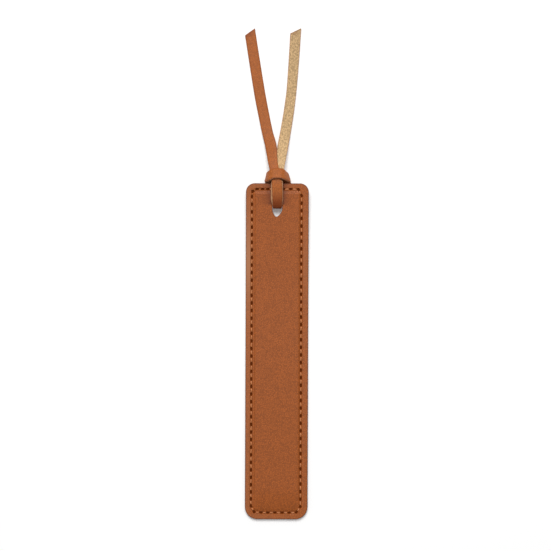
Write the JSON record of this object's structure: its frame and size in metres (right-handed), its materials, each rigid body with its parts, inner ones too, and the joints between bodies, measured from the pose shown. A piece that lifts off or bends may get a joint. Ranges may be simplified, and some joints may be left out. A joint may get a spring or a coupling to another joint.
{
  "type": "bookmark",
  "caption": "Flat stitched leather-look bookmark strip with rounded corners and a flat lace hitched through a hole at its top end, its tails free.",
  "frame": {"origin": "middle of the board's outline, on the plane of the flat part of its back, which lies on the table", "axes": "+X across the board, +Y along it towards the lace's tails, +Z out of its front face"},
  "size_m": [0.0288, 0.2199, 0.0086],
  "materials": {
    "front_leather": "fine grained saddle brown, satin",
    "back_leather": "fine grained saddle brown, satin",
    "stiffener_card": "plain bonded fibre board, matte",
    "thread": "twisted polyester thread, slight sheen",
    "lace": "smooth grain on one face, suede on the other",
    "lace_suede": "sandy suede on the upper face, grain below"
  },
  "bodies": {
    "board": {"front_panel": "front_leather", "back_panel": "back_leather", "stiffener": "stiffener_card", "needle_thread": "thread", "bobbin_thread": "thread", "lace_hitch": "lace"},
    "left_tail": {"left_tail": "lace"},
    "right_tail": {"right_tail": "lace_suede"}
  },
  "joints": [
    {"name": "left_tail_fold", "type": "hinge", "parent": "board", "child": "left_tail", "pos_m": [-0.00449, 0.0972, 0.00125], "axis": [1, 0, 0], "range_deg": [-90, 120]},
    {"name": "right_tail_fold", "type": "hinge", "parent": "board", "child": "right_tail", "pos_m": [0.00338, 0.0972, 0.0006], "axis": [1, 0, 0], "range_deg": [-90, 120]}
  ]
}
